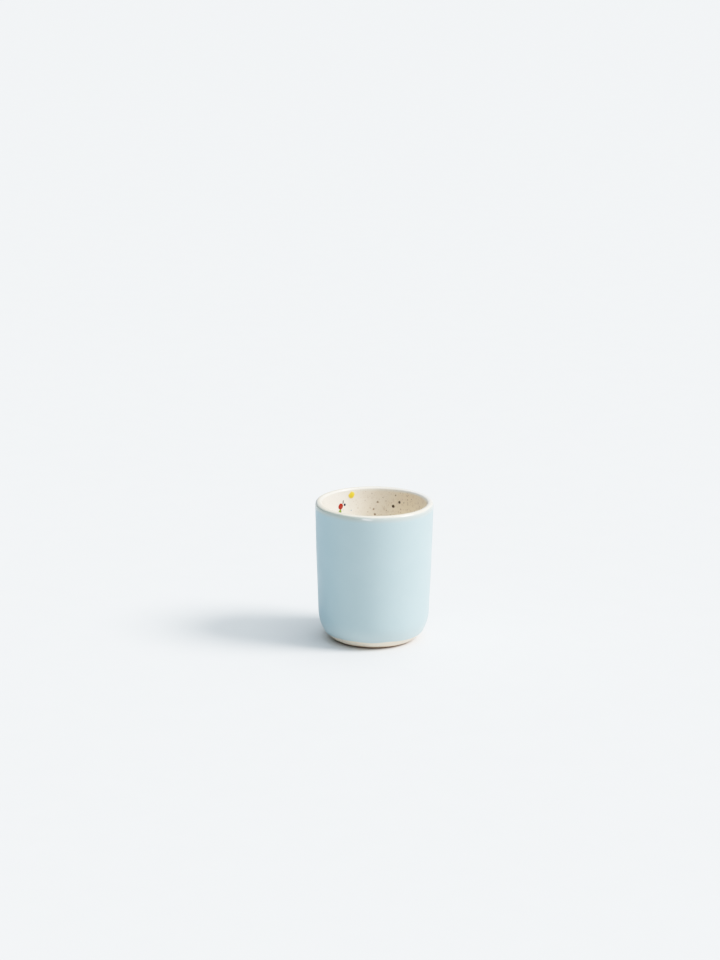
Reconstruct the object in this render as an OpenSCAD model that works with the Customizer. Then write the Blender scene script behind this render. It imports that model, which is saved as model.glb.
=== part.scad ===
// Handleless espresso cup: a stoneware body turned about Z, a blue glaze coat outside,
// a cream glaze coat inside and over the lip, and small glaze drops fused on the inside.
// The origin is the centre of the foot on the table, +Z is up, lengths are millimetres.

/* [Outside] */
// Height from the table to the top of the lip
cup_h = 65.5; // [58:0.5:75]
// Outside diameter at the rim
rim_d = 55; // [50:0.5:60]
// Lean of the outside wall from upright, in degrees
wall_draft = 1.8; // [0.5:0.1:3]
// Radius of the outside corner below the wall
corner_r = 18; // [16:0.5:20]
// Diameter at which the corner's curve would reach the table
base_d = 38.4; // [37.6:0.2:40]

/* [Inside] */
// Thickness of the rounded lip over both coats
lip_t = 3; // [2.4:0.1:3.2]
// Lean of the inside wall from upright, in degrees
inner_draft = 2.4; // [1.5:0.1:3.5]
// Radius of the inside corner between the wall and the floor
inner_corner_r = 13; // [9:0.5:16]
// Height of the inside floor above the table
floor_z = 6; // [5:0.25:8]

/* [Foot] */
// Outside diameter of the ring that stands on the table
foot_d = 34.5; // [34:0.5:36.5]
// Height at which the clay starts to turn in to that ring more tightly
turn_h = 2.5; // [2:0.25:3]
// Width of that ring
foot_ring_w = 3; // [2:0.25:5]
// Depth of the hollow turned under the foot
foot_hollow = 1; // [0.4:0.1:1.6]

/* [Glaze] */
// Thickness of the two coats
glaze_t = 0.35; // [0.2:0.05:0.6]
// Where the two coats meet on the lip's rounding, in degrees up from its outermost line
lip_join = 35; // [0:5:60]
// Height of the bare clay band above the table
bare_band = 3.75; // [3.25:0.25:6]

/* [Drops] */
// Rise of a drop as a share of its width
drop_rise = 0.1; // [0.08:0.01:0.16]
// Size of the drops and specks against the drawn ones
drop_scale = 1; // [0.7:0.05:1.05]
// Number of fine brown specks spread over the wall
speck_n = 26; // [8:1:30]

/* [Hidden] */
$fn = 96;

// Points along an arc about c, from angle a0 to a1
function arc(c, r, a0, a1, n) =
    [for (i = [0 : n]) let (a = a0 + (a1 - a0) * i / n) [c[0] + r * cos(a), c[1] + r * sin(a)]];

// Outside corner: its centre runs along the line of circles that touch the wall,
// and is set so that the clay's curve would meet the table at the base diameter
rim_r = rim_d / 2;
base_r = base_d / 2;
foot_r = foot_d / 2;
clay_corner_r = corner_r - glaze_t;
c_line = rim_r - (corner_r + cup_h * sin(wall_draft)) / cos(wall_draft);
c_lean = tan(wall_draft);
c_gap = base_r - c_line;
corner_z = (c_gap * c_lean + sqrt(pow(c_gap * c_lean, 2)
    - (1 + c_lean * c_lean) * (c_gap * c_gap - clay_corner_r * clay_corner_r))) / (1 + c_lean * c_lean);
corner_c = [c_line + c_lean * corner_z, corner_z];

// Below the glaze the clay turns in on a tighter curve, tangent to the corner, down to the ring
glaze_end_a = asin((bare_band - corner_z) / corner_r);
turn_a = asin((turn_h - corner_z) / clay_corner_r);
turn_n = [cos(turn_a), sin(turn_a)];
turn_p = corner_c + clay_corner_r * turn_n;
turn_d = [foot_r, 0] - turn_p;
turn_r = -(turn_d * turn_d) / (2 * (turn_d * turn_n));
turn_c = turn_p - turn_r * turn_n;
foot_a = atan2(-turn_c[1], foot_r - turn_c[0]);

// Lip: one round over the whole thickness, tangent to both walls
lip_r = lip_t / 2;
lip_c = [rim_r - (lip_r + lip_r * sin(wall_draft)) / cos(wall_draft), cup_h - lip_r];

// Inside corner, tangent to the inside wall and to the floor
in_top = [lip_c[0] - lip_r * cos(inner_draft), lip_c[1] + lip_r * sin(inner_draft)];
in_c = [in_top[0] - (inner_corner_r + (in_top[1] - floor_z - inner_corner_r) * sin(inner_draft)) / cos(inner_draft),
        floor_z + inner_corner_r];

// Profile pieces, each used by both of the solids that meet there
foot_hollow_r = foot_hollow / 2;
ring_in = foot_r - foot_ring_w;
under = concat([[0, foot_hollow]],
    arc([ring_in - foot_hollow_r, foot_hollow_r], foot_hollow_r, 90, 0, 5),
    arc([ring_in + foot_hollow_r, foot_hollow_r], foot_hollow_r, 180, 270, 5));
turn_arc = arc(turn_c, turn_r, foot_a, turn_a, 10);
bare_arc = arc(corner_c, clay_corner_r, turn_a, glaze_end_a, 4);
clay_arc = arc(corner_c, clay_corner_r, glaze_end_a, -wall_draft, 12);
coat_arc = arc(corner_c, corner_r, glaze_end_a, -wall_draft, 12);
lip_low_clay = arc(lip_c, lip_r - glaze_t, -wall_draft, lip_join, 4);
lip_low_coat = arc(lip_c, lip_r, -wall_draft, lip_join, 4);
lip_clay = arc(lip_c, lip_r - glaze_t, lip_join, 180 - inner_draft, 14);
lip_coat = arc(lip_c, lip_r, lip_join, 180 - inner_draft, 14);
in_clay = arc(in_c, inner_corner_r + glaze_t, -inner_draft, -90, 14);
in_coat = arc(in_c, inner_corner_r, -inner_draft, -90, 14);

function back(p) = [for (i = [len(p) - 1 : -1 : 0]) p[i]];
function tail(p) = [for (i = [1 : len(p) - 1]) p[i]];

clay_line = concat(under, turn_arc, tail(bare_arc), tail(clay_arc), lip_low_clay, tail(lip_clay), in_clay,
    [[0, floor_z - glaze_t]]);
blue_line = concat(clay_arc, lip_low_clay, back(lip_low_coat), back(coat_arc));
liner_line = concat(lip_clay, in_clay, [[0, floor_z - glaze_t], [0, floor_z]], back(in_coat), back(lip_coat));

// Radius of the inside wall at height z
function wall_r(z) = in_top[0] - (in_top[1] - z) * tan(inner_draft);

// A low bevelled disc, the plain form of a drop of glaze that has run flat
module disc(w) { cylinder(h = w * drop_rise, d1 = w, d2 = 0.55 * w, $fn = 96); }

// One drop on the inside wall: p = [turn from the back of the cup towards +X, depth below the rim, width].
// Its base is the chord plane that touches the curved wall at the drop's two sides.
module wall_drop(p) {
    w = p[2] * drop_scale;
    z = cup_h - p[1];
    rotate([0, 0, -p[0]]) translate([0, wall_r(z), z]) rotate([90 - inner_draft, 0, 0])
        translate([0, 0, w * w / (8 * wall_r(z))]) disc(w);
}

// One drop on the floor: p = [x, y, width]
module floor_drop(p) { translate([p[0], p[1], floor_z]) disc(p[2] * drop_scale); }

module drops(wall, floor) {
    for (p = wall) wall_drop(p);
    for (p = floor) floor_drop(p);
}

// Splashes of each colour, clear of each other
yellow_wall = [[-26, 3.3, 3.1], [62, 9, 1.8], [66, 10.8, 0.9], [128, 5, 2.2], [206, 14, 2.6], [202, 16.3, 1.2]];
yellow_floor = [[4, -3, 2.4]];
red_wall = [[-40.5, 7.8, 3], [96, 16, 1.6], [164, 6, 2], [160.5, 7.8, 1], [-112, 12, 1.4]];
red_floor = [[-5, 2, 1.6]];
green_wall = [[-41.7, 10.45, 1.9], [110, 8, 1.4], [-86, 6.5, 1.7], [182, 19, 1.2]];
green_floor = [[2, 6, 1.3]];
navy_wall = [[-34.8, 7.4, 1.3], [-36.6, 5.8, 0.7], [78, 5, 1.2], [145, 12, 1.5], [-128, 8, 1.6], [-126, 9.2, 0.8]];
navy_floor = [[-2, -6, 1.2]];
grey_wall = [[-26.5, 10.6, 0.8], [88, 11, 1], [190, 7, 1.2], [-98, 17, 1.1]];
grey_floor = [[6.5, 3.5, 0.9]];
brown_wall = concat(
    [[22, 8.7, 1.6], [29.5, 6.4, 1.4], [4, 7.1, 1.2], [-0.5, 10.6, 1.1], [1, 13.1, 1.2], [24.5, 3.3, 0.9], [35, 6.3, 0.6],
     [10, 4.9, 0.5], [14, 11, 0.5], [46, 3.8, 0.5]],
    // the rest step around the wall and down it
    [for (i = [0 : speck_n - 1]) [50 + (i * 61) % 250, 20 + (i * 7.3) % 22, 0.5 + 0.1 * (i % 5)]]);
brown_floor = [[0, 1, 0.8], [-6.5, -3, 0.6], [5.5, 6, 0.6], [-2.5, 6.5, 0.7], [1.5, -7, 0.6]];

module clay_body() { color([0.85, 0.82, 0.75]) rotate_extrude($fn = 96) polygon(clay_line); }
module outer_glaze() { color([0.72, 0.85, 0.89]) rotate_extrude($fn = 96) polygon(blue_line); }
module liner_glaze() { color([0.95, 0.93, 0.87]) rotate_extrude($fn = 96) polygon(liner_line); }
module drops_yellow() { color([0.96, 0.82, 0.16]) drops(yellow_wall, yellow_floor); }
module drops_red() { color([0.8, 0.12, 0.1]) drops(red_wall, red_floor); }
module drops_green() { color([0.5, 0.66, 0.24]) drops(green_wall, green_floor); }
module drops_navy() { color([0.13, 0.15, 0.3]) drops(navy_wall, navy_floor); }
module drops_grey() { color([0.62, 0.7, 0.74]) drops(grey_wall, grey_floor); }
module specks_brown() { color([0.36, 0.28, 0.22]) drops(brown_wall, brown_floor); }

clay_body();
outer_glaze();
liner_glaze();
drops_yellow();
drops_red();
drops_green();
drops_navy();
drops_grey();
specks_brown();
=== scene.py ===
import math

import bpy
import numpy as np
from mathutils import Matrix, Vector


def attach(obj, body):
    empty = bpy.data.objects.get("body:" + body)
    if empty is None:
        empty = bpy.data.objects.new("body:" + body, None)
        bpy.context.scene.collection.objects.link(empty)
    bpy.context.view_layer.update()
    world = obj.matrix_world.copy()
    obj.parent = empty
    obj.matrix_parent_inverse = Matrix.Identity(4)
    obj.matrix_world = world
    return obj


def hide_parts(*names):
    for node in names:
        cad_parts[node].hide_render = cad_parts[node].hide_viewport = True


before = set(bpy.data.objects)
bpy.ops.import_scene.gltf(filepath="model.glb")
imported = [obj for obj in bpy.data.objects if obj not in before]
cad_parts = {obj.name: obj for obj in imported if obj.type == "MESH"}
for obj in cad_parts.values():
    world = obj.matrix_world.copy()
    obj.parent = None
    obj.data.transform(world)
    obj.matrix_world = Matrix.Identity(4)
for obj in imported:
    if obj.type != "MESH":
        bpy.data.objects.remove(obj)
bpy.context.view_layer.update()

MM = 0.001
PI = math.pi
rad = math.radians
scene = bpy.context.scene

# ----------------------------------------------------------------------------------------------
# The cup's profile in millimetres: the same driving sizes as the construction
# ----------------------------------------------------------------------------------------------
H, RIM_R, DRAFT = 65.5, 27.5, rad(1.8)
RHO, BASE_R, T = 18.0, 19.2, 0.35
LIP_R, IN_DRAFT, IN_R, FLOOR_Z = 1.5, rad(2.4), 13.0, 6.0
FOOT_R, RING_W, HOLLOW, TURN_Z = 17.25, 3.0, 1.0, 2.5
LIP_JOIN, BARE = rad(35), 3.75
TV = T - 0.015  # the coats as drawn, a hair inside the construction's box

Q = RHO - T
_line = RIM_R - (RHO + H * math.sin(DRAFT)) / math.cos(DRAFT)
_lean = math.tan(DRAFT)
_gap = BASE_R - _line
CZ = (_gap * _lean + math.sqrt((_gap * _lean) ** 2 - (1 + _lean ** 2) * (_gap ** 2 - Q ** 2))) / (1 + _lean ** 2)
CX = _line + _lean * CZ
END_A = math.asin((BARE - CZ) / RHO)
# the tighter curve below the glaze, down to the ring
TURN_A = math.asin((TURN_Z - CZ) / Q)
PX, PZ = CX + Q * math.cos(TURN_A), TURN_Z
UR = -((FOOT_R - PX) ** 2 + PZ ** 2) / (2 * ((FOOT_R - PX) * math.cos(TURN_A) - PZ * math.sin(TURN_A)))
UX, UZ = PX - UR * math.cos(TURN_A), PZ - UR * math.sin(TURN_A)
FOOT_A = math.atan2(-UZ, FOOT_R - UX)
LX, LZ = RIM_R - (LIP_R + LIP_R * math.sin(DRAFT)) / math.cos(DRAFT), H - LIP_R
TX, TZ = LX - LIP_R * math.cos(IN_DRAFT), LZ + LIP_R * math.sin(IN_DRAFT)
IX = TX - (IN_R + (TZ - FLOOR_Z - IN_R) * math.sin(IN_DRAFT)) / math.cos(IN_DRAFT)
IZ = FLOOR_Z + IN_R
SEG = 384


def ripple(theta, z, seed, kmax, zlen, terms=9):
    """Smooth noise of about unit size, periodic around the cup."""
    r = np.random.default_rng(seed)
    out = np.zeros(np.broadcast(theta, z).shape)
    for _ in range(terms):
        k = int(r.integers(1, kmax + 1))
        out += np.sin(k * theta + r.uniform(0, 2 * PI)) * np.cos(2 * PI * z / (zlen * r.uniform(0.7, 1.6)) + r.uniform(0, 2 * PI))
    return out / math.sqrt(terms / 2)


def wave(theta, seed, ks):
    """Smooth noise of about unit size along a ring."""
    r = np.random.default_rng(seed)
    out = np.zeros_like(theta)
    for k in ks:
        out += r.uniform(0.5, 1.0) * np.sin(k * theta + r.uniform(0, 2 * PI))
    return out / math.sqrt(len(ks) / 2)


def smooth(x, a, b):
    t = np.clip((x - a) / (b - a), 0, 1)
    return t * t * (3 - 2 * t)


# ----------------------------------------------------------------------------------------------
# Mesh helpers
# ----------------------------------------------------------------------------------------------
def make_piece(name, verts, faces, attrs=None, sharp=40):
    mesh = bpy.data.meshes.new(name)
    mesh.from_pydata([tuple(v) for v in np.asarray(verts) * MM], [], faces)
    mesh.polygons.foreach_set("use_smooth", [True] * len(mesh.polygons))
    for key, values in (attrs or {}).items():
        a = mesh.attributes.new(key, "FLOAT", "POINT")
        a.data.foreach_set("value", np.asarray(values, np.float32))
    mesh.validate()
    mesh.update()
    if sharp:
        mesh.set_sharp_from_angle(angle=rad(sharp))
    obj = bpy.data.objects.new(name, mesh)
    scene.collection.objects.link(obj)
    return obj


def ring_grid(rows, cols, close_rows=False, base=0):
    """Faces of a grid of rows of cols points, closed around the columns."""
    faces = []
    n = rows if close_rows else rows - 1
    for i in range(n):
        a, b = base + i * cols, base + ((i + 1) % rows) * cols
        for j in range(cols):
            k = (j + 1) % cols
            faces.append((a + j, a + k, b + k, b + j))
    return faces


def revolve(name, r, z, attrs=None, poles=(None, None), closed=False, sharp=40):
    """r, z: rows x SEG. The rows run so that faces look outwards; poles are the heights of the end points on the axis."""
    rows = r.shape[0]
    th = np.arange(SEG) * 2 * PI / SEG
    verts = np.stack([r * np.cos(th), r * np.sin(th), z], -1).reshape(-1, 3)
    faces = ring_grid(rows, SEG, closed)
    vals = {k: v.reshape(-1) for k, v in (attrs or {}).items()}
    for end, height in enumerate(poles):
        if height is None:
            continue
        p = len(verts)
        verts = np.vstack([verts, [[0, 0, height]]])
        row = 0 if end == 0 else (rows - 1) * SEG
        for j in range(SEG):
            k = (j + 1) % SEG
            faces.append((p, row + k, row + j) if end == 0 else (p, row + j, row + k))
        for key in vals:
            vals[key] = np.append(vals[key], vals[key][row])
    return make_piece(name, verts, faces, vals, sharp)


TH = np.arange(SEG) * 2 * PI / SEG
ONE = np.ones(SEG)

# The uneven lines that the two coats share
JOIN_A = LIP_JOIN + rad(5) * wave(TH, 5, (2, 3, 5, 8, 13))  # where they meet on the lip's rounding
JOIN_A = JOIN_A + rad(14) * np.exp(-(((TH - rad(232) + PI) % (2 * PI) - PI) / rad(44)) ** 2)  # higher on one side
EDGE_SHIFT = 0.22 * wave(TH, 11, (1, 2, 3, 5, 7, 11))  # the blue coat's lower edge, mm along the surface
for _at, _dip, _wide in ((212, 0.42, 22), (330, 0.34, 20), (95, 0.25, 30)):
    EDGE_SHIFT = EDGE_SHIFT - _dip * np.exp(-(((TH - rad(_at) + PI) % (2 * PI) - PI) / rad(_wide)) ** 2)


def inner_wall_r(z):
    return TX - (TZ - z) * math.tan(IN_DRAFT)


def liner_ripple(theta, z):
    """Unevenness of the inside glaze, in mm, towards the axis."""
    fade = smooth(z, FLOOR_Z + 2, FLOOR_Z + 16) * (1 - smooth(z, H - 6, H - 2))
    return 0.03 * fade * ripple(theta, z, 21, 6, 30)


# ----------------------------------------------------------------------------------------------
# Clay body
# ----------------------------------------------------------------------------------------------
def clay_profile():
    pts = []
    hr = HOLLOW / 2
    ring_in = FOOT_R - RING_W
    # underside, with the shallow lines that a turning tool leaves
    for r in np.linspace(0.25, ring_in - hr - 0.05, 90):
        line = 0.05 * math.sin(2 * PI * r / 1.25) * smooth(r, 0.6, 3) * (1 - smooth(r, ring_in - hr - 1.0, ring_in - hr))
        pts.append((r, HOLLOW - 0.06 + line))
    for a in np.linspace(PI / 2, 0, 9):
        pts.append((ring_in - hr + hr * math.cos(a), hr + hr * math.sin(a) - 0.06 * a / (PI / 2)))
    for a in np.linspace(PI, 1.5 * PI, 9)[1:]:
        pts.append((ring_in + hr + hr * math.cos(a), hr + hr * math.sin(a)))
    for r in np.linspace(ring_in + hr, FOOT_R, 12)[1:-1]:
        pts.append((r, 0.0))
    for a in np.linspace(FOOT_A, TURN_A, 36):
        pts.append((UX + UR * math.cos(a), UZ + UR * math.sin(a)))
    for a in np.linspace(TURN_A, END_A, 12)[1:]:
        pts.append((CX + Q * math.cos(a), CZ + Q * math.sin(a)))
    for a in np.linspace(END_A, -DRAFT, 15)[1:]:
        pts.append((CX + Q * math.cos(a), CZ + Q * math.sin(a)))
    wall0 = np.array(pts[-1])
    lip0 = np.array((LX + (LIP_R - T) * math.cos(-DRAFT), LZ + (LIP_R - T) * math.sin(-DRAFT)))
    for f in np.linspace(0, 1, 12)[1:-1]:
        pts.append(tuple(wall0 + f * (lip0 - wall0)))
    for a in np.linspace(-DRAFT, PI - IN_DRAFT, 18):
        pts.append((LX + (LIP_R - T) * math.cos(a), LZ + (LIP_R - T) * math.sin(a)))
    top = np.array(pts[-1])
    low = np.array((IX + (IN_R + T) * math.cos(-IN_DRAFT), IZ + (IN_R + T) * math.sin(-IN_DRAFT)))
    for f in np.linspace(0, 1, 12)[1:-1]:
        pts.append(tuple(top + f * (low - top)))
    for a in np.linspace(-IN_DRAFT, -PI / 2, 18):
        pts.append((IX + (IN_R + T) * math.cos(a), IZ + (IN_R + T) * math.sin(a)))
    for r in np.linspace(IX, 0.3, 8)[1:]:
        pts.append((r, FLOOR_Z - T))
    return np.array(pts)


prof = clay_profile()
r = prof[:, :1] * ONE
z = prof[:, 1:] * ONE
# a faint hand-turned unevenness on the bare band, none where the foot stands or where the glaze lies
bare = smooth(z, 0.5, 1.2) * (1 - smooth(z, BARE - 0.6, BARE + 0.2)) * (r > FOOT_R)
rough = 0.035 * ripple(TH[None, :] * ONE, z * 1.0, 31, 40, 2.2, 16)
r = r - np.abs(rough) * bare
# distance up from the table to the glaze's uneven lower edge, for the toasted line beneath it
edge_a = END_A + EDGE_SHIFT / Q
surf_a = np.arctan2(z - CZ, r - CX)
below = (edge_a[None, :] - surf_a) * Q
toast = np.where((r > FOOT_R) & (z < BARE + 2), np.exp(-(np.clip(below, 0, 9) / 0.75) ** 1.2), 0.0)
# painted shade: down by the ring the clay is darkened to a red-brown that stands in for the shaded contact line under
# the foot
ring_shade = (1 - smooth(z, 0.25, 1.5)) * smooth(r, FOOT_R - 2.4, FOOT_R + 0.1)
clay = revolve("clay_shell", r, z, {"toast": toast, "ring_shade": ring_shade}, poles=(HOLLOW - 0.06, FLOOR_Z - T))

# ----------------------------------------------------------------------------------------------
# Blue coat on the outside
# ----------------------------------------------------------------------------------------------
arc_len = (-DRAFT - edge_a) * Q
wall0 = np.array((CX + Q * math.cos(DRAFT), CZ - Q * math.sin(DRAFT)))
LIP_Q = LIP_R - T
wall_len = (LZ - LIP_Q * math.sin(DRAFT) - wall0[1]) / math.cos(DRAFT)
full = arc_len + wall_len + (JOIN_A + DRAFT) * LIP_Q
steps = np.concatenate([np.linspace(0, 0.5, 14), np.linspace(0.5, 1.6, 12)[1:], np.linspace(1.6, 12, 30)[1:],
                        np.linspace(12, 57, 52)[1:], np.linspace(57, 60.4, 12)[1:], np.linspace(60.4, 61.2, 9)[1:]]) / 61.2
s = steps[:, None] * full[None, :]
up = np.clip(s - arc_len, 0, wall_len)
past = np.maximum(s - arc_len - wall_len, 0)
on_arc, on_lip = s < arc_len, past > 0
a = edge_a + np.minimum(s, arc_len) / Q
la = -DRAFT + past / LIP_Q
na = np.where(on_arc, a, la)
cr = np.where(on_arc, CX + Q * np.cos(a), np.where(on_lip, LX + LIP_Q * np.cos(la), wall0[0] + up * math.sin(DRAFT)))
cz = np.where(on_arc, CZ + Q * np.sin(a), np.where(on_lip, LZ + LIP_Q * np.sin(la), wall0[1] + up * math.cos(DRAFT)))
# thickness: a rounded, slightly swollen lower edge, then an even coat with faint unevenness
t_edge = np.sqrt(np.clip(1 - (1 - np.clip(s / 0.55, 0, 1)) ** 2, 0, 1))
bead = 0.09 * np.exp(-((s - 0.75) / 0.55) ** 2) * (1 + 0.35 * wave(TH, 17, (3, 5, 9, 14)))
to_top = full[None, :] - s
uneven = 0.016 * ripple(TH[None, :] * ONE, cz, 41, 7, 26) * smooth(s, 1.0, 6) * smooth(to_top, 1.0, 8)
swell = 0.12 * np.sin(PI * np.clip(up / wall_len, 0, 1)) ** 1.5
thick = np.clip((TV + bead + uneven + swell) * t_edge, 0, None)
orr = cr + thick * np.cos(na)
oz = cz + thick * np.sin(na)
# painted highlight: a short pale streak just under the lip, left of the front, standing in for a glint of light
turn_to = (TH - rad(263) + PI) % (2 * PI) - PI
glint_streak = np.exp(-(turn_to[None, :] / 0.085) ** 4) * np.exp(-((to_top - 0.86 - 1.2 * turn_to[None, :]) / 0.29) ** 2)
# painted shade: the blue is darkened and made bluer on the left side, away from the key light
from_shade_side = (TH - rad(190) + PI) % (2 * PI) - PI
# painted shade: on the left side, away from the key light, the grey band below the lip is darker
tail_shade = (1 - smooth(np.abs((TH - rad(200) + PI) % (2 * PI) - PI), rad(44), rad(76)))[None, :] + 0 * s
shade_side_tint = np.exp(-(from_shade_side[None, :] / rad(44)) ** 2) * (1 + 0.10 * ripple(TH[None, :] * ONE, cz, 47, 4, 40))
inner_r, inner_z = cr[::-1][:-1], cz[::-1][:-1]  # the side on the clay, back down to the edge
loop_r = np.vstack([orr, inner_r])
loop_z = np.vstack([oz, inner_z])
blue = revolve("blue_coat", loop_r, loop_z, {"past_join": -np.vstack([to_top, to_top[::-1][:-1]]),
                                             "from_foot": np.vstack([s, s[::-1][:-1]]),
                                             "glint_streak": np.vstack([glint_streak, glint_streak[::-1][:-1]]),
                                             "shade_side_tint": np.vstack([shade_side_tint, shade_side_tint[::-1][:-1]]),
                                             "tail_shade": np.vstack([tail_shade, tail_shade[::-1][:-1]])}, closed=True)

# ----------------------------------------------------------------------------------------------
# Cream coat: over the lip, down the inside wall and across the floor
# ----------------------------------------------------------------------------------------------
def liner_side(glazed):
    """Rows of (r, z, distance past the join) for the glazed side or the clay side, from the join to the floor's middle."""
    rows = []
    n_lip, n_wall, n_corner, n_floor = (44, 60, 40, 26) if glazed else (18, 12, 18, 7)
    for f in np.linspace(0, 1, n_lip):
        ang = JOIN_A + f * (PI - IN_DRAFT - JOIN_A)
        lr = LIP_R - T + (TV + (T - TV) * smooth(ang, rad(100), rad(177)) if glazed else 0 * ONE)
        # the glaze fills the inner half of the round out a little: flatter on top, tighter at the inner edge
        pw = np.where((ang > PI / 2) & glazed, 2 / 2.75, 1.0)
        rows.append((LX + lr * np.sign(np.cos(ang)) * np.abs(np.cos(ang)) ** pw, LZ + lr * np.sin(ang) ** pw, (ang - JOIN_A) * LIP_R))
    offset = T if glazed else 0.0
    lr = LIP_R - T + offset
    top = (LX - lr * math.cos(IN_DRAFT), LZ + lr * math.sin(IN_DRAFT))
    ir = IN_R + T - offset
    low = (IX + ir * math.cos(IN_DRAFT), IZ - ir * math.sin(IN_DRAFT))
    for f in np.linspace(0, 1, n_wall)[1:]:
        rr, zz = top[0] + f * (low[0] - top[0]), top[1] + f * (low[1] - top[1])
        lift = liner_ripple(TH, zz * ONE) if glazed else 0 * ONE
        rows.append((rr - lift, zz * ONE, 9 * ONE))
    for ang in np.linspace(-IN_DRAFT, -PI / 2, n_corner)[1:]:
        pool = 0.07 * math.sin(-2 * ang) ** 2 if glazed else 0.0  # the glaze gathers a little in the corner
        rows.append(((IX + (ir - pool) * math.cos(ang)) * ONE, (IZ + (ir - pool) * math.sin(ang)) * ONE, 9 * ONE))
    for rr in np.linspace(IX, 0.3, n_floor)[1:]:
        rows.append((rr * ONE, (FLOOR_Z - T + offset) * ONE, 9 * ONE))
    return np.array(rows).transpose(1, 0, 2)


sr, sz, sd = liner_side(True)
kr, kz, kd = liner_side(False)
# from the floor's middle on the clay side, out and over to the join, then back along the glazed side
liner_r, liner_z, past_join = np.vstack([kr[::-1], sr]), np.vstack([kz[::-1], sz]), np.vstack([kd[::-1], sd])
# painted shade: the inside wall on the right-back, which faces away from the key light, is given a darker, warmer tan
# standing in for its shade
turn = (PI / 2 - TH + PI) % (2 * PI) - PI
inner_shade_mask = np.clip(np.exp(-((turn - rad(38)) / rad(40)) ** 2) + 0.12 * wave(TH, 27, (2, 3, 5, 7)), 0, 1)[None, :]
reach = 0.85 * np.exp(-((turn - rad(58)) / rad(32)) ** 2)[None, :]  # and further up towards the lip there
inner_shade_mask = inner_shade_mask * (1 - smooth(liner_z - reach, H - 2.3, H - 1.3)) * (0.12 + 0.88 * smooth(liner_z, FLOOR_Z + 1, FLOOR_Z + 16))
# painted shade and light on the lip: a grey-green on the left side, away from the key light, stands in for shade, and a
# paler cream on the key's side stands in for light
run, lip_lit_side = (np.exp(-(((TH - rad(at) + PI) % (2 * PI) - PI) / rad(wide)) ** 2)[None, :] + 0 * liner_z for at, wide in ((181, 20), (24, 42)))
cream = revolve("cream_coat", liner_r, liner_z, {"past_join": past_join, "inner_shade": inner_shade_mask, "run": run, "lip_lit_side": lip_lit_side},
                poles=(FLOOR_Z - T, FLOOR_Z))

# ----------------------------------------------------------------------------------------------
# Glaze drops and specks on the inside
# ----------------------------------------------------------------------------------------------
def on_wall(turn, depth, u, v, lift):
    """A point of the inside wall: turn from the back towards +X in degrees, depth below the rim; u to the right and
    v downwards along the wall, lift towards the axis, all in mm."""
    zz = H - depth - v * math.cos(IN_DRAFT)
    r0 = inner_wall_r(H - depth)
    th = rad(90 - turn) - u / r0
    rr = inner_wall_r(zz) - liner_ripple(th, zz)
    return np.stack([(rr - lift * math.cos(IN_DRAFT)) * np.cos(th), (rr - lift * math.cos(IN_DRAFT)) * np.sin(th),
                     zz + lift * math.sin(IN_DRAFT)], -1)


def on_floor(x, y, u, v, lift):
    return np.stack([x + u, y - v, FLOOR_Z + lift + 0 * u], -1)


def blob(place, w, seed, rise=0.09, lobes=(), stretch=1.0, tilt=0.0, wobble=0.07, rings=9, spokes=44, power=0.8):
    """A rounded drop with an uneven outline. lobes: (angle in degrees from right towards down, reach, spread in degrees).
    Returns points, faces, and 0 at the middle to 1 at the edge for each point."""
    g = np.random.default_rng(seed)
    al = np.arange(spokes) * 2 * PI / spokes
    edge = np.ones(spokes)
    for k in (2, 3, 4, 5):
        edge += wobble * g.uniform(0.3, 1.0) / (k - 1) ** 0.5 * np.cos(k * al + g.uniform(0, 2 * PI))
    for ang, reach, spread in lobes:
        d = (al - rad(ang) + PI) % (2 * PI) - PI
        edge += reach * np.exp(-0.5 * (d / rad(spread)) ** 2)
    edge *= w / 2
    ca, sa = math.cos(rad(tilt)), math.sin(rad(tilt))
    pts, rho = [], []

    def put(f, lift):
        x, y = f * edge * np.cos(al), f * edge * np.sin(al) * stretch
        pts.append(place(x * ca - y * sa, x * sa + y * ca, lift))
        rho.append(np.full(spokes, f))

    h = rise * w
    for i in range(rings, 0, -1):
        f = math.sin(i / rings * PI / 2)
        put(f, (h + 0.02) * (1 - f * f) ** power - 0.02)
    top = place(np.zeros(1), np.zeros(1), h)
    bottom = place(np.zeros(1), np.zeros(1), -0.05)
    n = len(pts) * spokes
    verts = np.vstack(pts + [top, bottom])
    faces = []
    for i in range(rings - 1):
        for j in range(spokes):
            k = (j + 1) % spokes
            faces.append((i * spokes + j, (i + 1) * spokes + j, (i + 1) * spokes + k, i * spokes + k))
    last = (rings - 1) * spokes
    for j in range(spokes):
        k = (j + 1) % spokes
        faces.append((last + j, n, last + k))
        faces.append((j, k, n + 1))
    return verts, faces, np.concatenate(rho + [np.zeros(1), np.ones(1)])


def wall_blob(turn, depth, w, seed, **kw):
    return blob(lambda u, v, lift: on_wall(turn, depth, u, v, lift), w, seed, **kw)


def floor_blob(x, y, w, seed, **kw):
    return blob(lambda u, v, lift: on_floor(x, y, u, v, lift), w, seed, **kw)


def group(name, blobs, tones=()):
    """One piece from many drops; tones sets how faint the first ones are, from 0 to 1."""
    verts, faces, rho, tone, base = [], [], [], [], 0
    g = np.random.default_rng(len(name) * 7 + 3)
    for i, (v, f, q) in enumerate(blobs):
        verts.append(v)
        faces += [tuple(i + base for i in face) for face in f]
        rho.append(q)
        own = g.uniform(0, 1)
        tone.append(np.full(len(v), tones[i] if i < len(tones) else own))
        base += len(v)
    return make_piece(name, np.vstack(verts), faces, {"rim": np.concatenate(rho), "tone": np.concatenate(tone)}, sharp=75)


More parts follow.
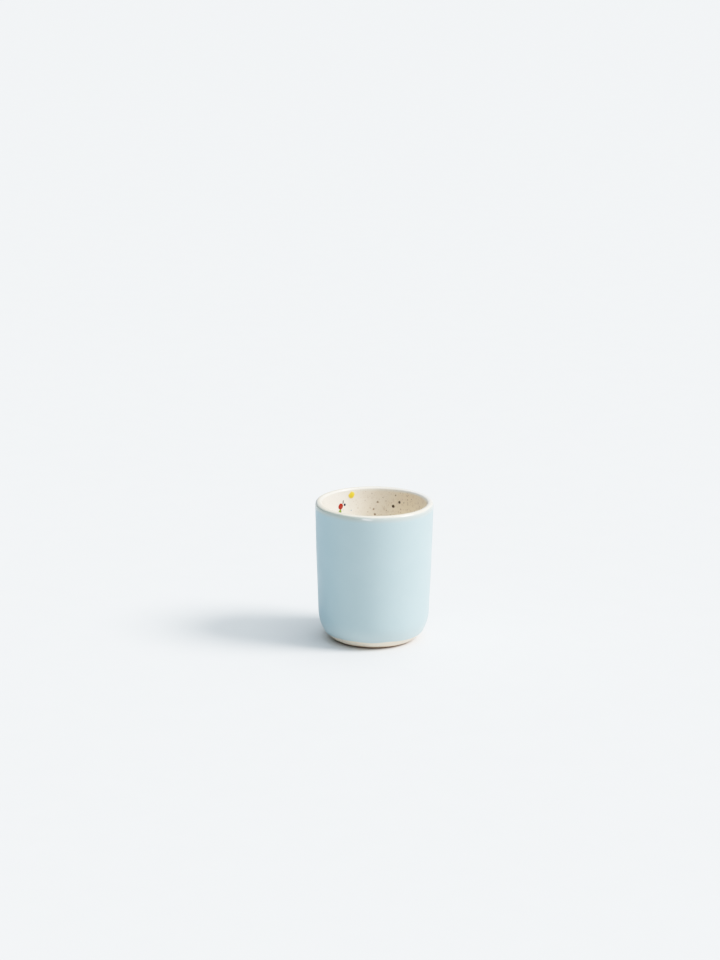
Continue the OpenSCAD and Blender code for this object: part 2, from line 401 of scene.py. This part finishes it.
yellow = group("yellow_drops", [
    wall_blob(-26, 3.3, 3.05, 101, lobes=((-80, 0.24, 30), (-15, 0.20, 24), (185, 0.16, 28), (110, 0.06, 22)), wobble=0.05),
    wall_blob(62, 9, 1.75, 102, lobes=((80, 0.25, 22),)), wall_blob(66, 10.8, 0.85, 103),
    wall_blob(128, 5, 2.1, 104, lobes=((120, 0.2, 25), (-40, 0.2, 22))),
    wall_blob(206, 14, 2.5, 105, lobes=((60, 0.25, 22), (200, 0.15, 30))), wall_blob(202, 16.3, 1.15, 106, stretch=1.25),
    floor_blob(4, -3, 2.3, 107, lobes=((210, 0.25, 25), (30, 0.15, 25)))])
red = group("red_drops", [
    wall_blob(-40.5, 7.8, 3.0, 111, lobes=((95, 0.10, 35),), wobble=0.04),
    wall_blob(96, 16, 1.55, 112, lobes=((100, 0.25, 24),)), wall_blob(164, 6, 1.95, 113, lobes=((75, 0.2, 26), (-60, 0.12, 25))),
    wall_blob(160.5, 7.8, 0.95, 114, stretch=1.2), wall_blob(-112, 12, 1.35, 115, lobes=((90, 0.3, 20),)),
    floor_blob(-5, 2, 1.55, 116, lobes=((150, 0.22, 25),))])
green = group("green_drops", [
    wall_blob(-41.7, 10.4, 2.15, 121, stretch=0.85, tilt=-12, lobes=((-70, 0.15, 30),)),
    wall_blob(110, 8, 1.35, 122, lobes=((100, 0.2, 25),)), wall_blob(-86, 6.5, 1.65, 123, lobes=((70, 0.2, 25), (250, 0.12, 25))),
    wall_blob(182, 19, 1.15, 124), floor_blob(2, 6, 1.25, 125, lobes=((20, 0.2, 25),))])
navy = group("navy_drops", [
    wall_blob(-34.8, 7.4, 1.4, 131, wobble=0.04), wall_blob(-36.9, 6.0, 0.75, 132, stretch=3.0, tilt=9, wobble=0.03),
    wall_blob(78, 5, 1.15, 133, lobes=((110, 0.3, 20),)), wall_blob(145, 12, 1.45, 134, lobes=((80, 0.25, 22),)),
    wall_blob(-128, 8, 1.5, 135, lobes=((60, 0.15, 25),)), wall_blob(-126, 9.2, 0.7, 136),
    floor_blob(-2, -6, 1.15, 137)])
grey = group("grey_drops", [
    wall_blob(-26.5, 10.6, 0.75, 141, rise=0.06), wall_blob(88, 11, 0.95, 142, rise=0.06), wall_blob(190, 7, 1.15, 143, rise=0.06),
    wall_blob(-98, 17, 1.05, 144, rise=0.06), floor_blob(6.5, 3.5, 0.85, 145, rise=0.06)])
seen = [(22, 8.7, 1.7), (29.5, 6.4, 1.5), (4, 7.1, 1.2), (-0.5, 10.6, 1.1), (1, 13.1, 1.2), (24.5, 3.3, 0.9), (35, 6.3, 0.6),
        (10, 4.9, 0.5), (14, 11, 0.5), (46, 3.8, 0.5)]
spread = [(50 + (i * 61) % 250, 20 + (i * 7.3) % 22, 0.5 + 0.1 * (i % 5)) for i in range(26)]
specks = group("brown_specks",
               [wall_blob(t_, d_, w_, 200 + i, rise=0.05, rings=6, spokes=28, wobble=0.05 if w_ > 1.4 else 0.12)
                for i, (t_, d_, w_) in enumerate(seen + spread)]
               + [floor_blob(x_, y_, w_ * 0.95, 260 + i, rise=0.05, rings=5, spokes=22, wobble=0.12)
                  for i, (x_, y_, w_) in enumerate([(0, 1, 0.8), (-6.5, -3, 0.6), (5.5, 6, 0.6), (-2.5, 6.5, 0.7), (1.5, -7, 0.6)])],
               tones=(0.0, 0.05, 0.9, 1.0, 0.7, 1.0, 0.8))


# ----------------------------------------------------------------------------------------------
# Materials
# ----------------------------------------------------------------------------------------------
class Nodes:
    def __init__(self, name):
        self.mat = bpy.data.materials.new(name)
        self.mat.use_nodes = True
        self.t = self.mat.node_tree
        self.t.nodes.clear()
        self.out = self.t.nodes.new("ShaderNodeOutputMaterial")
        self.b = self.t.nodes.new("ShaderNodeBsdfPrincipled")
        self.t.links.new(self.b.outputs[0], self.out.inputs[0])
        self.co = self.t.nodes.new("ShaderNodeTexCoord").outputs["Object"]

    def link(self, a, b):
        self.t.links.new(a, b)

    def put(self, socket, value):
        if isinstance(value, bpy.types.NodeSocket):
            self.link(value, socket)
        elif value is not None:
            socket.default_value = value

    def attr(self, name):
        n = self.t.nodes.new("ShaderNodeAttribute")
        n.attribute_name = name
        return n.outputs["Fac"]

    def noise(self, scale, detail=2.0, rough=0.5, w=None):
        n = self.t.nodes.new("ShaderNodeTexNoise")
        if w is not None:
            n.noise_dimensions = "4D"
            n.inputs["W"].default_value = w
        self.link(self.co, n.inputs["Vector"])
        n.inputs["Scale"].default_value = scale
        n.inputs["Detail"].default_value = detail
        n.inputs["Roughness"].default_value = rough
        return n.outputs[0]

    def cells(self, scale, shift=0.0):
        """Distance to the nearest cell point in cell units, and that cell's random colour."""
        src = self.co
        if shift:
            m = self.t.nodes.new("ShaderNodeVectorMath")
            m.operation = "ADD"
            self.link(self.co, m.inputs[0])
            m.inputs[1].default_value = (shift, shift * 0.7, shift * 1.3)
            src = m.outputs[0]
        n = self.t.nodes.new("ShaderNodeTexVoronoi")
        self.link(src, n.inputs["Vector"])
        n.inputs["Scale"].default_value = scale
        return n.outputs["Distance"], n.outputs["Color"]

    def math(self, op, a, b=None, c=None, clamp=False):
        n = self.t.nodes.new("ShaderNodeMath")
        n.operation = op
        n.use_clamp = clamp
        for i, x in enumerate((a, b, c)):
            self.put(n.inputs[i], x)
        return n.outputs[0]

    def ramp(self, x, lo, hi, a=0.0, b=1.0, soft=True):
        n = self.t.nodes.new("ShaderNodeMapRange")
        n.interpolation_type = "SMOOTHSTEP" if soft else "LINEAR"
        for i, v in enumerate((x, lo, hi, a, b)):
            self.put(n.inputs[i], v)
        return n.outputs[0]

    def mix(self, fac, a, b, mode="MIX"):
        n = self.t.nodes.new("ShaderNodeMix")
        n.data_type = "RGBA"
        n.blend_type = mode
        self.put(n.inputs[0], fac)
        self.put(n.inputs[6], a)
        self.put(n.inputs[7], b)
        return n.outputs[2]

    def split(self, colour):
        n = self.t.nodes.new("ShaderNodeSeparateColor")
        self.link(colour, n.inputs[0])
        return n.outputs

    def dots(self, scale, chance, size_lo, size_hi, shift=0.0, soft=0.06):
        """Round dots in a random share of the cells: a 0 to 1 mask and the cell's random numbers."""
        dist, colour = self.cells(scale, shift)
        c = self.split(colour)
        size = self.ramp(c[1], 0.0, 1.0, size_lo, size_hi, soft=False)
        there = self.math("LESS_THAN", c[0], chance)
        inside = self.math("SUBTRACT", size, dist)
        mask = self.ramp(inside, -soft, soft)
        return self.math("MULTIPLY", mask, there), c

    def bump(self, height, distance, strength=1.0, normal=None):
        n = self.t.nodes.new("ShaderNodeBump")
        n.inputs["Strength"].default_value = strength
        n.inputs["Distance"].default_value = distance
        self.link(height, n.inputs["Height"])
        if normal is not None:
            self.link(normal, n.inputs["Normal"])
        return n.outputs[0]

    def done(self, colour, roughness, normal=None, ior=1.5, **sockets):
        self.put(self.b.inputs["Base Color"], colour)
        self.put(self.b.inputs["Roughness"], roughness)
        self.b.inputs["IOR"].default_value = ior
        if normal is not None:
            self.link(normal, self.b.inputs["Normal"])
        for key, value in sockets.items():
            self.b.inputs[key.replace("_", " ")].default_value = value
        return self.mat


def glaze_bump(m):
    """The faint orange-peel and rare pinholes of a fired glaze."""
    peel = m.noise(420, 2.0, 0.5)
    pin, _ = m.dots(700, 0.05, 0.10, 0.22, 0.37, 0.05)
    height = m.math("SUBTRACT", peel, m.math("MULTIPLY", pin, 0.6))
    return m.bump(height, 0.00003, 1.0)


CREAM = (0.830, 0.745, 0.590, 1.0)
BLUE = (0.452, 0.598, 0.634, 1.0)
BLUE_DEEP = (0.441, 0.589, 0.626, 1.0)


def break_over_lip(m):
    """0 on the blue to 1 on the cream, over the strip where the two coats run into each other."""
    wander = m.math("MULTIPLY_ADD", m.noise(330, 2.0), 0.4, -0.20)
    return m.ramp(m.math("ADD", m.attr("past_join"), wander), -0.42, 0.38)


def blue_glaze():
    m = Nodes("blue_glaze_mat")
    cloud = m.noise(95, 3.0, 0.55)
    base = m.mix(m.ramp(cloud, 0.35, 0.68), BLUE_DEEP, BLUE)
    fine = m.noise(1500, 2.0, 0.6, 2.0)
    base = m.mix(m.ramp(fine, 0.62, 0.80, 0.0, 0.14), base, (0.55, 0.66, 0.69, 1))
    # painted shade: darker, bluer blue on the left side, away from the key light
    base = m.mix(m.attr("shade_side_tint"), base, (0.775, 0.908, 0.990, 1), "MULTIPLY")
    # it pales and greys over the last millimetres below the lip, then breaks to the cream; on the left side, away from
    # the key light, this band is darker, which is painted shade
    tail = m.mix(m.attr("tail_shade"), (0.562, 0.598, 0.555, 1), (0.470, 0.503, 0.436, 1))
    base = m.mix(m.ramp(m.attr("past_join"), -3.1, -0.3, 0.0, 0.82), base, tail)
    # painted highlight: the streak's near-white colour stands in for a glint
    base = m.mix(m.attr("glint_streak"), base, (0.97, 0.98, 0.97, 1))
    base = m.mix(break_over_lip(m), base, CREAM)
    # thin at the very edge of the foot, darker where it has gathered just above it
    low = m.attr("from_foot")
    # partly the coat thinning towards its edge, partly painted light: the blue is paled over the lowest 10 mm, standing
    # in for light bounced up from the table
    base = m.mix(m.ramp(low, 0.0, 10.0, 0.42, 0.0), base, (0.62, 0.71, 0.71, 1))
    gather = m.math("MULTIPLY", m.ramp(low, 0.25, 0.8), m.ramp(low, 1.0, 2.4, 1.0, 0.0))
    base = m.mix(m.math("MULTIPLY", gather, 0.12), base, (0.30, 0.46, 0.53, 1))
    base = m.mix(m.ramp(low, 0.0, 0.55, 0.65, 0.0), base, (0.66, 0.70, 0.66, 1))
    rough = m.ramp(m.noise(180, 2.0, 0.5, 5.0), 0.3, 0.7, 0.38, 0.46)
    rough = m.math("MULTIPLY_ADD", m.ramp(m.attr("past_join"), -2.2, -0.6), -0.22, rough)
    return m.done(base, rough, glaze_bump(m), Specular_IOR_Level=0.3)


def cream_glaze():
    m = Nodes("cream_glaze_mat")
    cloud = m.noise(120, 3.0, 0.55)
    # painted shade: darker, warmer tan on the shaded right-back of the inside
    inner_shade = m.attr("inner_shade")
    clean = m.mix(m.ramp(cloud, 0.3, 0.7), (0.914, 0.840, 0.733, 1), (0.930, 0.863, 0.763, 1))
    inner_shade_tan = m.mix(m.ramp(cloud, 0.3, 0.7), (0.886, 0.722, 0.508, 1), (0.912, 0.760, 0.548, 1))
    base = m.mix(inner_shade, clean, inner_shade_tan)
    lip = m.mix(m.ramp(m.attr("past_join"), 1.5, 2.9), CREAM, (0.905, 0.838, 0.722, 1))
    # painted light: paler cream on the lip on the key's side
    lip = m.mix(m.math("MULTIPLY", m.attr("lip_lit_side"), 0.90), lip, (0.935, 0.905, 0.850, 1))
    # painted shade: grey-green on the lip on the left side, away from the key light
    lip = m.mix(m.math("MULTIPLY", m.attr("run"), m.ramp(m.attr("past_join"), 0.3, 2.0, 0.95, 0.0)), lip, (0.600, 0.640, 0.625, 1))
    base = m.mix(m.math("MULTIPLY", m.ramp(m.attr("past_join"), 3.0, 6.5, 1.0, 0.0), m.math("SUBTRACT", 1.0, inner_shade)), base, lip)  # thinner over the lip
    # fine freckles of the clay coming through, in three sizes, more of them on the right-back side that carries the
    # painted shade
    much = m.math("MULTIPLY_ADD", inner_shade, 0.70, 0.30)
    blotch = m.ramp(m.noise(620, 2.0, 0.6, 7.0), 0.50, 0.72, 0.0, 0.52)
    base = m.mix(m.math("MULTIPLY", blotch, inner_shade), base, (0.56, 0.40, 0.28, 1))
    f1, c1 = m.dots(1900, 0.30, 0.10, 0.34, 0.0, 0.10)
    base = m.mix(m.math("MULTIPLY", f1, m.ramp(c1[2], 0, 1, 0.10, 0.42, False)), base, (0.48, 0.35, 0.25, 1))
    f2, c2 = m.dots(900, 0.45, 0.16, 0.40, 0.11, 0.10)
    base = m.mix(m.math("MULTIPLY", m.math("MULTIPLY", f2, much), m.ramp(c2[2], 0, 1, 0.26, 0.85, False)), base, (0.43, 0.285, 0.190, 1))
    f3, c3 = m.dots(420, 0.16, 0.06, 0.17, 0.23, 0.035)
    base = m.mix(m.math("MULTIPLY", m.math("MULTIPLY", f3, much), m.ramp(c3[2], 0, 1, 0.35, 0.85, False)), base, (0.26, 0.175, 0.115, 1))
    base = m.mix(break_over_lip(m), BLUE, base)
    rough = m.ramp(m.noise(200, 2.0, 0.5, 3.0), 0.3, 0.7, 0.15, 0.23)
    return m.done(base, rough, glaze_bump(m))


def bare_clay():
    m = Nodes("bare_clay_mat")
    grain = m.noise(2600, 3.0, 0.65)
    cloud = m.noise(160, 3.0, 0.5)
    base = m.mix(m.ramp(cloud, 0.3, 0.7), (0.905, 0.790, 0.625, 1), (0.940, 0.845, 0.695, 1))
    base = m.mix(m.ramp(grain, 0.45, 0.75, 0.0, 0.45), base, (0.89, 0.83, 0.72, 1))
    base = m.mix(m.ramp(grain, 0.25, 0.42, 0.40, 0.0), base, (0.58, 0.49, 0.38, 1))
    f, c = m.dots(1100, 0.10, 0.08, 0.26, 0.05, 0.07)
    base = m.mix(m.math("MULTIPLY", f, 0.55), base, (0.30, 0.21, 0.14, 1))
    base = m.mix(m.math("MULTIPLY", m.attr("toast"), 0.30), base, (0.52, 0.36, 0.22, 1))
    # painted shade: the clay by the ring is darkened to a red-brown for the shaded contact line
    ring_shade_mix = m.math("MULTIPLY", m.attr("ring_shade"), m.ramp(m.noise(380, 4.0, 0.65, 4.0), 0.30, 0.62, 0.45, 1.0))
    ring_shade_tone = m.mix(m.ramp(grain, 0.35, 0.65), (0.580, 0.250, 0.095, 1), (0.690, 0.325, 0.135, 1))
    base = m.mix(ring_shade_mix, base, ring_shade_tone)
    rough = m.ramp(grain, 0.3, 0.7, 0.78, 0.92)
    pits = m.math("SUBTRACT", grain, m.math("MULTIPLY", f, 0.8))
    return m.done(base, rough, m.bump(pits, 0.00008, 1.0))


def drop_glaze(name, core, edge, deep, spread_at=0.85, faint=None):
    """A glossy drop: its own colour in the middle, thinning to a fringe at the edge, with a cloudy variation."""
    m = Nodes(name)
    rim = m.math("ADD", m.attr("rim"), m.math("MULTIPLY_ADD", m.noise(900, 2.0), 0.5, -0.25))
    base = m.mix(m.ramp(m.noise(1400, 2.0, 0.5, 1.0), 0.35, 0.7), core, deep)
    base = m.mix(m.math("MULTIPLY", m.attr("tone"), 0.85 if faint else 0.12), base, faint or edge)
    base = m.mix(m.ramp(rim, spread_at, 1.15, 0.0, 0.85), base, edge)
    rough = m.ramp(m.noise(700, 1.0), 0.3, 0.7, 0.12, 0.20)
    return m.done(base, rough, m.bump(m.noise(900, 2.0), 0.00002, 1.0))


def dress(obj, material, node):
    obj.data.materials.clear()
    obj.data.materials.append(material)
    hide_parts(node)
    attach(obj, "root")


dress(clay, bare_clay(), "clay_body")
dress(blue, blue_glaze(), "outer_glaze")
dress(cream, cream_glaze(), "liner_glaze")
dress(yellow, drop_glaze("yellow_glaze_mat", (0.93, 0.61, 0.014, 1), (0.93, 0.77, 0.34, 1), (0.93, 0.54, 0.012, 1), 0.54), "drops_yellow")
dress(red, drop_glaze("red_glaze_mat", (0.31, 0.005, 0.005, 1), (0.60, 0.08, 0.03, 1), (0.26, 0.003, 0.004, 1), 0.78), "drops_red")
dress(green, drop_glaze("green_glaze_mat", (0.17, 0.30, 0.030, 1), (0.36, 0.40, 0.07, 1), (0.12, 0.23, 0.03, 1)), "drops_green")
dress(navy, drop_glaze("navy_glaze_mat", (0.010, 0.015, 0.045, 1), (0.045, 0.060, 0.12, 1), (0.008, 0.011, 0.033, 1), 0.9), "drops_navy")
dress(grey, drop_glaze("grey_glaze_mat", (0.36, 0.46, 0.50, 1), (0.62, 0.63, 0.58, 1), (0.30, 0.40, 0.46, 1)), "drops_grey")
dress(specks, drop_glaze("brown_speck_mat", (0.080, 0.052, 0.032, 1), (0.24, 0.165, 0.10, 1), (0.060, 0.038, 0.022, 1), 0.8, (0.44, 0.33, 0.235, 1)), "specks_brown")

# ----------------------------------------------------------------------------------------------
# Floor, light and camera
# ----------------------------------------------------------------------------------------------
fm = bpy.data.meshes.new("floor")
fm.from_pydata([(-12, -12, -0.00002), (12, -12, -0.00002), (12, 12, -0.00002), (-12, 12, -0.00002)], [], [(0, 1, 2, 3)])
floor = bpy.data.objects.new("floor", fm)
scene.collection.objects.link(floor)
m = Nodes("floor_mat")
m.done(m.mix(m.ramp(m.noise(60, 3.0), 0.3, 0.7), (0.790, 0.797, 0.804, 1), (0.798, 0.805, 0.812, 1)), 0.9)
m.b.inputs["Specular IOR Level"].default_value = 0.2
floor.data.materials.append(m.mat)

KEY_AZ, KEY_EL = rad(80), rad(42)  # azimuth from the viewer's side towards +X
key_dir = Vector((math.sin(KEY_AZ) * math.cos(KEY_EL), -math.cos(KEY_AZ) * math.cos(KEY_EL), math.sin(KEY_EL)))
sun = bpy.data.lights.new("key", "SUN")
sun.energy = 1.98
sun.angle = rad(24)
sun.color = (1.0, 0.996, 0.988)
sun_obj = bpy.data.objects.new("key", sun)
sun_obj.rotation_euler = key_dir.to_track_quat("Z", "Y").to_euler()
scene.collection.objects.link(sun_obj)

world = bpy.data.worlds.new("studio")
scene.world = world
world.use_nodes = True
wt = world.node_tree
bg = wt.nodes["Background"]
tc = wt.nodes.new("ShaderNodeTexCoord")
sep = wt.nodes.new("ShaderNodeSeparateXYZ")
wt.links.new(tc.outputs["Generated"], sep.inputs[0])


def wmath(op, *args):
    n = wt.nodes.new("ShaderNodeMath")
    n.operation = op
    for i, x in enumerate(args):
        if isinstance(x, bpy.types.NodeSocket):
            wt.links.new(x, n.inputs[i])
        else:
            n.inputs[i].default_value = x
    return n.outputs[0]


# mostly from overhead, dim towards the horizon, a little stronger on the key's side
overhead = wmath("POWER", wmath("MAXIMUM", sep.outputs[2], 0.0), 4.0)
level = wmath("MULTIPLY_ADD", overhead, 0.96, 0.04)
side = wmath("MULTIPLY_ADD", sep.outputs[0], 0.83, wmath("MULTIPLY_ADD", sep.outputs[1], 0.12, 1.0))
level = wmath("MULTIPLY", level, wmath("MAXIMUM", side, 0.0))
tint = wt.nodes.new("ShaderNodeMix")
tint.data_type = "RGBA"
wt.links.new(wmath("MULTIPLY", sep.outputs[0], -1.0), tint.inputs[0])
tint.inputs[6].default_value = (0.890, 0.957, 1.0, 1.0)
tint.inputs[7].default_value = (0.56, 0.83, 1.0, 1.0)
wt.links.new(tint.outputs[2], bg.inputs["Color"])
wt.links.new(wmath("MULTIPLY", level, 1.45), bg.inputs["Strength"])

# camera: solved from the outline and the rim ellipses, for a 720 x 960 frame
E, DIST, XO, YO, ROLL, F_PX = rad(14.95), 1.24301, 374.377, 563.018, rad(0.301), 2667.0
fw = Vector((0, math.cos(E), -math.sin(E)))
rt = Vector((1, 0, 0))
up_ = Vector((0, math.sin(E), math.cos(E)))
aim = (fw + rt * ((XO - 360) / F_PX) - up_ * ((YO - 480) / F_PX)).normalized()
place = Vector((0, 0, 0.0355)) - aim * DIST
c_, s_ = math.cos(ROLL), math.sin(ROLL)
rt2, up2 = rt * c_ + up_ * s_, up_ * c_ - rt * s_
cam = bpy.data.cameras.new("camera")
cam.sensor_fit = "AUTO"
cam.sensor_width = 36.0
cam.lens = F_PX * 36.0 / 960.0
cam_obj = bpy.data.objects.new("camera", cam)
cam_obj.matrix_world = Matrix(((rt2.x, up2.x, -fw.x, place.x), (rt2.y, up2.y, -fw.y, place.y),
                               (rt2.z, up2.z, -fw.z, place.z), (0, 0, 0, 1)))
scene.collection.objects.link(cam_obj)
scene.camera = cam_obj

# display: a gentle shoulder, as a camera gives bright pale subjects
vs = scene.view_settings
vs.view_transform = "Standard"
vs.look = "None"
vs.exposure = 0.0
vs.gamma = 1.0
vs.use_curve_mapping = True
SHOULDER = 2.5
curve = vs.curve_mapping.curves[3]
knots = [i / 10 for i in range(11)]
value = lambda x: (1 - math.exp(-SHOULDER * x)) / (1 - math.exp(-SHOULDER))
curve.points[0].location = (0.0, 0.0)
curve.points[-1].location = (1.0, 1.0)
for x in knots[1:-1]:
    curve.points.new(x, value(x))
vs.curve_mapping.update()
